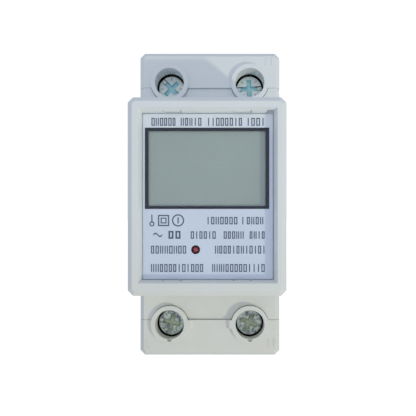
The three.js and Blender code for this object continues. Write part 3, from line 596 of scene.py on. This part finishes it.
def add_wave(bm, y_range):
    """One period of a wavy line."""
    points = []
    for i in range(WAVE_STEPS + 1):
        along = WAVE_WIDTH * i / WAVE_STEPS
        points.append((WAVE_START + along, WAVE_MIDDLE + WAVE_RISE * math.sin(along * WAVE_TURN)))
    half = WAVE_LINE / 2
    for (x0, z0), (x1, z1) in zip(points, points[1:]):
        outline = [(x0, z0 - half), (x1, z1 - half), (x1, z1 + half), (x0, z0 + half)]
        add_prism(bm, [(x * MM, z * MM) for x, z in outline], *y_range)


def print_plate():
    """The plate's print, as thin ink: greeked words, and a few plain line signs."""
    rng = random.Random(PRINT_SEED)
    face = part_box("name_plate")[0].y
    y_range = (face - PRINT_HEIGHT, face)
    words = bmesh.new()
    for row in PRINT_ROWS:
        for word in row["words"]:
            add_word(words, word, row["z"], y_range, rng)
    text_ink = ink("text_ink", (0.055, 0.085, 0.14))
    new_piece("printed_words", words, text_ink, smooth=False)

    signs = bmesh.new()
    for centre, outer, inner, steps in RINGS:
        add_ring(signs, centre, outer, inner, y_range, steps)
    for x_range, z_range in STEMS:
        add_bar(signs, x_range, z_range, y_range)
    for x_range, z_range, line in [*SQUARES, *BOXES]:
        add_frame(signs, x_range, z_range, line, y_range)
    add_wave(signs, y_range)
    new_piece("printed_signs", signs, text_ink, smooth=False)


# ---------------------------------------------------------------- terminal screws
HEAD_EXTRA = 0.08 * MM  # added to the CAD head's radius
HEAD_THICKNESS = 2.6 * MM
HEAD_FILLET = 0.12 * MM
FILLET_STEPS = 5
HEAD_BACK_CUT = 0.15 * MM
SHANK_RADIUS = 2.3 * MM
THREAD_PITCH = 0.8 * MM
THREAD_DEPTH = 0.35 * MM
RIDGE = [(0.3, 0), (0.6, 1), (0.75, 1), (1, 0)]  # along one pitch, and out of the thread's root
TIP_CUT = 0.5 * MM
THREAD_END = 0.6 * MM  # the last ridge stays this far from the tip
POLE_RADIUS = 0.01 * MM  # of the small flat at each end of the axis
SCREW_SIDES = 72
SCREW_ROUNDING = 0.05 * MM

# the drive in the head's face; millimetres
CUT_LEAD = 0.3  # how far in front of the face the cutters start
# the cross at four depths: y from the face, reach of an arm and half its width
CROSS_SECTIONS = [(-CUT_LEAD, 2.48, 0.66), (0, 2.4, 0.62), (0.45, 2.15, 0.5), (0.9, 1.5, 0.42)]
GROOVE = {"span": (1.6, 4.2), "across": (-0.46, 0.46), "depth": 0.2}
# painted shade: dark slots along both sides of each groove
GROOVE_SHADE_LINES = [
    {"span": (1.6, 4.2), "across": (-0.58, -0.44), "depth": 0.6},
    {"span": (1.6, 4.2), "across": (0.44, 0.58), "depth": 0.6},
]
TICK = {"span": (2.05, 2.9), "across": (-0.07, 0.07), "depth": 0.3}


def screw_profile(head_radius, head, tip):
    """(radius, y) from the middle of the head's front face to the tip, with thread ridges on the shank."""
    profile = [(POLE_RADIUS, head)]
    for i in range(FILLET_STEPS + 1):
        a = math.pi / 2 * i / FILLET_STEPS
        inset, drop = HEAD_FILLET * (1 - math.sin(a)), HEAD_FILLET * (1 - math.cos(a))
        profile.append((head_radius - inset, head + drop))
    y = head + HEAD_THICKNESS
    neck = SHANK_RADIUS - THREAD_DEPTH
    profile += [(head_radius, y - HEAD_BACK_CUT), (head_radius - HEAD_BACK_CUT, y), (neck, y)]
    while y + THREAD_PITCH < tip - THREAD_END:
        profile += [(neck + out * THREAD_DEPTH, y + along * THREAD_PITCH) for along, out in RIDGE]
        y += THREAD_PITCH
    profile += [(neck, tip - TIP_CUT), (neck - TIP_CUT, tip), (POLE_RADIUS, tip)]
    return profile


def turned(outline, degrees, centre):
    """(x, z) points turned about the origin, then moved to centre."""
    c, s = math.cos(math.radians(degrees)), math.sin(math.radians(degrees))
    return [(centre[0] + x * c - z * s, centre[1] + x * s + z * c) for x, z in outline]


def cross_outline(reach, half):
    return [(half, half), (half, reach), (-half, reach), (-half, half), (-reach, half), (-reach, -half),
            (-half, -half), (-half, -reach), (half, -reach), (half, -half), (reach, -half), (reach, half)]


def add_groove(bm, centre, head, degrees, shape):
    """A straight groove along one radius of the head, from y = head inwards."""
    (near, far), (low, high) = shape["span"], shape["across"]
    outline = [(x * MM, z * MM) for x, z in ((near, low), (far, low), (far, high), (near, high))]
    add_prism(bm, turned(outline, degrees, centre), head - CUT_LEAD * MM, head + shape["depth"] * MM)


def drive_cutters(centre, head, look, recess, groove, shade):
    """The cross recess, which tapers as it goes in, grooves with deeper edges, and short ticks; the edges and
    ticks are cut in a dark metal as painted shade.
    """
    cross = bmesh.new()
    rings = []
    for y, reach, half in CROSS_SECTIONS:
        outline = turned(cross_outline(reach * MM, half * MM), look["drive"], centre)
        rings.append([(x, head + y * MM, z) for x, z in outline])
    add_loft(cross, rings)
    grooves, lines = bmesh.new(), bmesh.new()
    for degrees in look["grooves"]:
        add_groove(grooves, centre, head, degrees, GROOVE)
        for edge in GROOVE_SHADE_LINES:
            add_groove(lines, centre, head, degrees, edge)
    for quarter in range(4):
        add_groove(lines, centre, head, look["drive"] + 45 + 90 * quarter, TICK)
    return [new_piece("cutter", bm, material, body=None, smooth=False)
            for bm, material in ((grooves, groove), (lines, shade), (cross, recess))]


def make_screws(fresh):
    """Turned screws with a cross drive, two of them worn and stained, in place of the CAD ones."""
    worn = plated_metal("screw_zinc_worn", (0.8, 0.9, 0.78), roughness=0.42, stain=0.9,
                        stain_color=(0.17, 0.16, 0.29), metallic=0.35, patch=0.42)
    # painted shade: the dark metal of groove edges and ticks
    shade = plated_metal("drive_edge_shade", (0.13, 0.18, 0.2), roughness=0.5, metallic=0.4)
    bright = plated_metal("drive_groove", (0.95, 0.98, 0.97), roughness=0.3, stain=0.1, metallic=0.3)
    recess = plated_metal("drive_recess", (0.52, 0.85, 0.9), roughness=0.34, stain=0.3,
                          stain_color=(0.32, 0.66, 0.74), metallic=0.3)
    worn_recess = plated_metal("drive_recess_worn", (0.6, 0.68, 0.5), roughness=0.45, stain=0.6,
                               stain_color=(0.26, 0.3, 0.26), metallic=0.3)
    for name, look in TERMINALS.items():
        node = f"terminal_screw_{name}"
        low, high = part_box(node)
        centre = ((low.x + high.x) / 2, (low.z + high.z) / 2)
        body = bmesh.new()
        profile = screw_profile((high.x - low.x) / 2 + HEAD_EXTRA, low.y, high.y)
        add_lathe(body, profile, centre, SCREW_SIDES)
        face, hollow = (worn, worn_recess) if look["worn"] else (fresh, recess)
        piece = new_piece(f"screw_{name}", body, face, body=f"screw_{name}")
        cut(piece, drive_cutters(centre, low.y, look, hollow, bright, shade))
        for polygon in piece.data.polygons:
            polygon.use_smooth = True
        soften(piece, SCREW_ROUNDING, SMALL_PIECE_ANGLE)
        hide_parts(node)


# ---------------------------------------------------------------- latch spring
SPRING_WIRE = 0.2 * MM  # the wire's radius
SPRING_TURNS = 7.5
SPRING_STEPS = 260
SPRING_SIDES = 12
SPRING_EASE = 1 / 22  # draws the end turns closer together


def make_spring(steel):
    """A compression spring between the fixed peg and the latch."""
    low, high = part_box("latch_spring")
    radius = (high.x - low.x) / 2 - SPRING_WIRE
    centre = (low + high) / 2
    length = high.z - low.z - 2 * SPRING_WIRE
    path = []
    for i in range(SPRING_STEPS + 1):
        t = i / SPRING_STEPS
        angle = 2 * math.pi * SPRING_TURNS * t
        eased = t - math.sin(2 * math.pi * t) * SPRING_EASE
        path.append(Vector((centre.x + radius * math.cos(angle), centre.y + radius * math.sin(angle),
                            low.z + SPRING_WIRE + length * eased)))
    bm = bmesh.new()
    add_tube(bm, path, SPRING_WIRE, SPRING_SIDES)
    piece = new_piece("spring_coil", bm, steel)
    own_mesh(piece)
    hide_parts("latch_spring")


# ---------------------------------------------------------------- small moulded marks
END_FACE = -42.2 * MM  # front plane of the terminal ends
MARK_HEIGHT = 0.12 * MM
MARK_ROOT = 0.05 * MM
MARK_WIDTH = 0.34
MARK_ROUNDING = 0.06 * MM
# strokes between (x, z) points in millimetres
MARKS = {
    "mark_top_right": [((14.6, 35.6), (14.6, 37.6)), ((16.0, 35.6), (16.0, 37.6))],
    "mark_bottom_left": [((-16.2, -34.8), (-16.2, -37.0)), ((-16.2, -37.0), (-15.2, -37.0))],
    "mark_bottom_right": [((15.2, -34.6), (15.2, -36.8)), ((16.6, -34.6), (16.6, -36.8))],
}


def add_stroke(bm, start, end, width, y_range):
    """A raised stroke between two (x, z) points in millimetres, with square ends."""
    a, b = Vector(start) * MM, Vector(end) * MM
    side = Vector((-(b - a).y, (b - a).x)).normalized() * width * MM / 2
    add_prism(bm, [(p.x, p.y) for p in (a - side, b - side, b + side, a + side)], *y_range)


def mould_marks(plastic):
    """Plain raised strokes near three corners of the terminal ends, where polarity marks are moulded."""
    for name, strokes in MARKS.items():
        bm = bmesh.new()
        for start, end in strokes:
            add_stroke(bm, start, end, MARK_WIDTH, (END_FACE - MARK_HEIGHT, END_FACE + MARK_ROOT))
        piece = new_piece(name, bm, plastic)
        soften(piece, MARK_ROUNDING, SMALL_PIECE_ANGLE, weld=False)


# ---------------------------------------------------------------- stage and light
FLOOR_DROP = 0.25
FLOOR_RINGS = [(0.02, 0), (1.6, 0), (2.1, 0.08), (2.3, 0.4)]  # radius and height, with an upturned rim
FLOOR_SIDES = 96
FLOOR_GLOW = 0.6
WHITE = 1.05  # radiance of the backdrop and floor as the camera sees them
SKY_ABOVE = (0.59, 0.65, 0.74)
SKY_BELOW = (0.60, 0.62, 0.68)
SIDE_LIGHT = 0.75  # the sky's strength at the sides and behind, and straight in front
FRONT_LIGHT = 1.12
KEY_DIRECTION = Vector((1.12, -1.0, -0.83)).normalized()
KEY_DISTANCE = 0.6
KEY_SIZE = 0.028
KEY_POWER = 0.99
KEY_COLOR = (1.0, 0.97, 0.66)


def make_stage():
    """A large plain white floor, well below the object, which only the camera sees."""
    bm = bmesh.new()
    rings = []
    for radius, height in FLOOR_RINGS:
        circle = (2 * math.pi * i / FLOOR_SIDES for i in range(FLOOR_SIDES))
        rings.append([bm.verts.new((radius * math.cos(a), radius * math.sin(a), height - FLOOR_DROP))
                      for a in circle])
    bridge(bm, rings)
    bm.faces.new(rings[0])
    g = Graph("floor_paper")
    fibre = g.noise(2 * MM, 3)
    paper = g.finish(g.mix(g.spread(fibre, 0.3, 0.7), (0.93, 0.93, 0.93), (0.96, 0.96, 0.96)), 0.8)
    g.put(g.shader.inputs["Emission Color"], (1.0, 1.0, 1.0))
    g.put(g.shader.inputs["Emission Strength"], FLOOR_GLOW)
    floor = new_piece("floor", bm, paper, body=None)
    floor.visible_diffuse = floor.visible_glossy = False
    floor.visible_transmission = floor.visible_shadow = False


def make_world():
    """Soft light from all round, cooler from above and stronger in front, and a white backdrop."""
    world = bpy.data.worlds.new("studio")
    world.use_nodes = True
    g = NodeTree(world.node_tree)
    toward = g.add("ShaderNodeTexCoord").outputs["Generated"]
    split = g.add("ShaderNodeSeparateXYZ", {"Vector": toward})
    soft = g.tree.nodes["Background"]
    g.put(soft.inputs["Color"], g.mix(g.spread(split.outputs["Z"], -1, 1), SKY_BELOW, SKY_ABOVE))
    g.put(soft.inputs["Strength"], g.spread(split.outputs["Y"], 0, -1, SIDE_LIGHT, FRONT_LIGHT))
    backdrop = g.add("ShaderNodeBackground", {"Color": (1, 1, 1), "Strength": WHITE})
    seen = g.add("ShaderNodeLightPath").outputs["Is Camera Ray"]
    chosen = g.add("ShaderNodeMixShader", {
        "Fac": seen, 1: soft.outputs["Background"], 2: backdrop.outputs["Background"],
    })
    g.put(g.tree.nodes["World Output"].inputs["Surface"], chosen.outputs["Shader"])
    bpy.context.scene.world = world


def make_key():
    """One soft lamp in front, low on the right."""
    key_data = bpy.data.lights.new("key", "AREA")
    key_data.shape = "DISK"
    key_data.size = KEY_SIZE
    key_data.energy = KEY_POWER
    key_data.color = KEY_COLOR
    key = bpy.data.objects.new("key", key_data)
    target = Vector((0, front_y, 0))
    key.location = target + KEY_DIRECTION * KEY_DISTANCE
    key.rotation_euler = (target - key.location).to_track_quat("-Z", "Y").to_euler()
    key.visible_camera = False
    bpy.context.scene.collection.objects.link(key)


# ---------------------------------------------------------------- all together
make_camera()
finishes = make_finishes()
finish_nodes(finishes)
print_plate()
make_screws(finishes["screw_zinc"])
make_spring(finishes["spring_steel"])
mould_marks(finishes["housing_plastic"])
make_stage()
make_world()
make_key()
